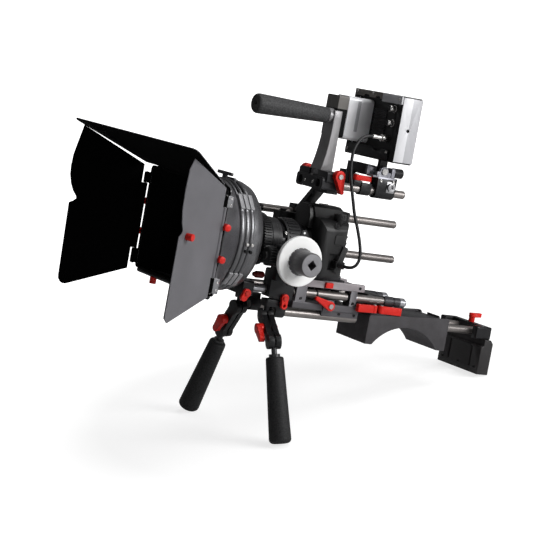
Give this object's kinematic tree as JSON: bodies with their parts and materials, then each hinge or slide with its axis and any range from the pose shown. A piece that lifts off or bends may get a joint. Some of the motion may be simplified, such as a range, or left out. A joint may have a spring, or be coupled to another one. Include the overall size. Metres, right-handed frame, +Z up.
{
  "type": "shoulder-mounted cinema camera rig",
  "caption": "Shoulder-mounted cinema camera rig on rods with matte box and flags, geared follow focus, top handle, field monitor, ball-arm hand grips, shoulder pad and counterweight.",
  "frame": {"origin": "on the floor under the middle of the rig's overall box", "axes": "+X level, the way the lens looks, +Y to the operator's left, +Z up"},
  "size_m": [0.7886, 0.46, 0.6019],
  "materials": {
    "rod_alloy": "satin anodised tube",
    "black_alloy": "black anodised, fine blasted",
    "grey_alloy": "grey anodised, satin",
    "bright_steel": "turned bright",
    "red_alloy": "red anodised, satin",
    "foam": "closed-cell foam, fine grain",
    "box_plastic": "moulded, matt black",
    "flag_sheet": "powder-coated matt black",
    "camera_plastic": "textured black",
    "lens_glass": "coated optical glass",
    "white_plastic": "smooth white marking disc",
    "gear_plastic": "moulded nylon",
    "cable_jacket": "smooth jacket",
    "silver_shell": "silver painted plastic",
    "iron_weight": "dark painted casting"
  },
  "bodies": {
    "rig": {"main_rods": "rod_alloy", "support_rods": "rod_alloy", "base_clamp": "grey_alloy", "camera_plate": "grey_alloy", "quick_plate": "grey_alloy", "pivot_pins": "bright_steel", "ball_mounts": "black_alloy", "pad_bracket": "black_alloy", "pad_plate": "black_alloy", "shoulder_pad": "foam", "c_arm": "black_alloy", "handle_block": "grey_alloy", "handle_arm": "grey_alloy", "top_grip": "foam", "monitor_clamp": "black_alloy", "focus_gearbox": "black_alloy", "box_bracket": "black_alloy", "filter_stage": "box_plastic", "hood": "box_plastic", "camera_body": "camera_plastic", "lens_barrel": "camera_plastic", "lens_glass": "lens_glass", "video_cable": "cable_jacket", "camera_plug": "cable_jacket"},
    "focus_wheel": {"focus_disc": "white_plastic", "focus_knob": "black_alloy"},
    "left_handle": {"left_stem": "bright_steel", "left_grip": "foam"},
    "right_handle": {"right_stem": "bright_steel", "right_grip": "foam"},
    "weight": {"counterweight": "iron_weight", "weight_clamp": "black_alloy"},
    "monitor": {"monitor_shell": "silver_shell", "battery": "silver_shell", "monitor_plug": "bright_steel"},
    "top_flag": {"top_flag": "flag_sheet"},
    "left_flag": {"left_flag": "flag_sheet"},
    "right_flag": {"right_flag": "flag_sheet"},
    "front_tray": {"front_tray": "box_plastic"},
    "rear_tray": {"rear_tray": "box_plastic"},
    "drive_gear": {"drive_gear": "gear_plastic"},
    "focus_ring": {"focus_ring": "camera_plastic"},
    "zoom_ring": {"zoom_ring": "camera_plastic"},
    "left_arm": {"left_arm": "black_alloy"},
    "left_arm_lever": {"left_arm_lever": "red_alloy"},
    "right_arm": {"right_arm": "black_alloy"},
    "right_arm_lever": {"right_arm_lever": "red_alloy"},
    "box_lever": {"box_lever": "red_alloy"},
    "focus_lever": {"focus_lever": "red_alloy"},
    "base_lever": {"base_lever": "red_alloy"},
    "pad_lever_front": {"pad_lever_front": "red_alloy"},
    "pad_lever_rear": {"pad_lever_rear": "red_alloy"},
    "weight_lever": {"weight_lever": "red_alloy"},
    "handle_lever_left": {"handle_lever_left": "red_alloy"},
    "handle_lever_right": {"handle_lever_right": "red_alloy"},
    "monitor_lever": {"monitor_lever": "red_alloy"},
    "plate_button": {"plate_button": "red_alloy"},
    "tilt_knob": {"tilt_knob": "black_alloy"},
    "shutter_button": {"shutter_button": "camera_plastic"},
    "mode_dial": {"mode_dial": "camera_plastic"}
  },
  "joints": [
    {"name": "top_flag_hinge", "type": "hinge", "parent": "rig", "child": "top_flag", "pos_m": [0.22332, 0, 0.48046], "axis": [0, -1, 0], "range_deg": [0, 40]},
    {"name": "left_flag_hinge", "type": "hinge", "parent": "rig", "child": "left_flag", "pos_m": [0.27445, 0.149, 0.30787], "axis": [-0.284, 0, 0.9588], "range_deg": [-50, 25]},
    {"name": "right_flag_hinge", "type": "hinge", "parent": "rig", "child": "right_flag", "pos_m": [0.27445, -0.149, 0.30787], "axis": [0.284, 0, -0.9588], "range_deg": [-50, 25]},
    {"name": "rear_tray_lift", "type": "slide", "parent": "rig", "child": "rear_tray", "axis": [-0.284, 0, 0.9588], "range_m": [0, 0.165]},
    {"name": "front_tray_lift", "type": "slide", "parent": "rig", "child": "front_tray", "axis": [-0.284, 0, 0.9588], "range_m": [0, 0.165]},
    {"name": "focus_wheel_turn", "type": "hinge", "parent": "rig", "child": "focus_wheel", "pos_m": [0.06383, 0, 0.31119], "axis": [0, 1, 0], "range_deg": [-165, 165]},
    {"name": "drive_gear_turn", "type": "hinge", "parent": "rig", "child": "drive_gear", "pos_m": [0.09739, 0.05925, 0.32113], "axis": [0.9588, 0, 0.284], "range_deg": [-166, 166]},
    {"name": "focus_ring_turn", "type": "hinge", "parent": "rig", "child": "focus_ring", "pos_m": [0.09114, 0, 0.34222], "axis": [0.9588, 0, 0.284], "range_deg": [-60, 60]},
    {"name": "zoom_ring_turn", "type": "hinge", "parent": "rig", "child": "zoom_ring", "pos_m": [0.0432, 0, 0.32802], "axis": [0.9588, 0, 0.284], "range_deg": [-40, 40]},
    {"name": "left_arm_swing", "type": "hinge", "parent": "rig", "child": "left_arm", "pos_m": [0.1085, 0.036, 0.20969], "axis": [0.9621, -0.2334, 0.1409], "range_deg": [-14, 14]},
    {"name": "left_grip_swing", "type": "hinge", "parent": "left_arm", "child": "left_handle", "pos_m": [0.12676, 0.09119, 0.17638], "axis": [0.9621, -0.2334, 0.1409], "range_deg": [-14, 14]},
    {"name": "left_arm_lever_turn", "type": "hinge", "parent": "left_arm", "child": "left_arm_lever", "pos_m": [0.11763, 0.06359, 0.19304], "axis": [0.9621, -0.2334, 0.1409], "range_deg": [-60, 60]},
    {"name": "right_arm_swing", "type": "hinge", "parent": "rig", "child": "right_arm", "pos_m": [0.12384, -0.036, 0.21424], "axis": [0.9857, 0.1084, 0.1293], "range_deg": [-14, 14]},
    {"name": "right_grip_swing", "type": "hinge", "parent": "right_arm", "child": "right_handle", "pos_m": [0.13514, -0.07841, 0.16362], "axis": [0.9857, 0.1084, 0.1293], "range_deg": [-14, 14]},
    {"name": "right_arm_lever_turn", "type": "hinge", "parent": "right_arm", "child": "right_arm_lever", "pos_m": [0.12949, -0.05721, 0.18893], "axis": [0.9857, 0.1084, 0.1293], "range_deg": [-60, 60]},
    {"name": "box_lever_turn", "type": "hinge", "parent": "rig", "child": "box_lever", "pos_m": [0.14948, 0.044, 0.26147], "axis": [0, 1, 0], "range_deg": [-40, 40]},
    {"name": "focus_lever_turn", "type": "hinge", "parent": "rig", "child": "focus_lever", "pos_m": [0.0743, 0.046, 0.23711], "axis": [0, 1, 0], "range_deg": [-50, 50]},
    {"name": "base_lever_turn", "type": "hinge", "parent": "rig", "child": "base_lever", "pos_m": [-0.01892, 0.046, 0.20324], "axis": [0, 1, 0], "range_deg": [-50, 60]},
    {"name": "pad_lever_front_turn", "type": "hinge", "parent": "rig", "child": "pad_lever_front", "pos_m": [-0.1153, 0.043, 0.16948], "axis": [-0.284, 0, 0.9588], "range_deg": [0, 80]},
    {"name": "pad_lever_rear_turn", "type": "hinge", "parent": "rig", "child": "pad_lever_rear", "pos_m": [-0.13064, 0.043, 0.16493], "axis": [0.284, 0, -0.9588], "range_deg": [0, 80]},
    {"name": "weight_slide", "type": "slide", "parent": "rig", "child": "weight", "axis": [0.9588, 0, 0.284], "range_m": [0, 0.05]},
    {"name": "weight_lever_turn", "type": "hinge", "parent": "weight", "child": "weight_lever", "pos_m": [-0.3647, 0.004, 0.09247], "axis": [-0.284, 0, 0.9588], "range_deg": [-60, 60]},
    {"name": "handle_lever_left_turn", "type": "hinge", "parent": "rig", "child": "handle_lever_left", "pos_m": [-0.05239, 0.049, 0.43946], "axis": [0, 1, 0], "range_deg": [-45, 45]},
    {"name": "handle_lever_right_turn", "type": "hinge", "parent": "rig", "child": "handle_lever_right", "pos_m": [-0.05239, -0.049, 0.43946], "axis": [0, 1, 0], "range_deg": [-45, 45]},
    {"name": "monitor_lever_turn", "type": "hinge", "parent": "rig", "child": "monitor_lever", "pos_m": [-0.10331, 0.03, 0.42125], "axis": [-0.284, 0, 0.9588], "range_deg": [-60, 60]},
    {"name": "plate_button_press", "type": "slide", "parent": "rig", "child": "plate_button", "axis": [0, -1, 0], "range_m": [0, 0.0035], "stiffness_N_per_m": 800, "springref_m": -0.001},
    {"name": "monitor_tilt", "type": "hinge", "parent": "rig", "child": "monitor", "pos_m": [-0.15874, 0.031, 0.42882], "axis": [0, 1, 0], "range_deg": [-12, 15], "deforming": ["video_cable"]},
    {"name": "tilt_knob_turn", "type": "hinge", "parent": "rig", "child": "tilt_knob", "pos_m": [-0.1923, 0.031, 0.41888], "axis": [0.9588, 0, 0.284], "continuous": true},
    {"name": "shutter_press", "type": "slide", "parent": "rig", "child": "shutter_button", "axis": [0.284, 0, -0.9588], "range_m": [0, 0.002], "stiffness_N_per_m": 600, "springref_m": -0.001},
    {"name": "mode_dial_turn", "type": "hinge", "parent": "rig", "child": "mode_dial", "pos_m": [-0.05658, 0.043, 0.36208], "axis": [-0.284, 0, 0.9588], "continuous": true}
  ],
  "couplings": [
    {"joint": "drive_gear_turn", "follows": "focus_wheel_turn", "ratio": 1},
    {"joint": "focus_ring_turn", "follows": "focus_wheel_turn", "ratio": -0.36207}
  ]
}
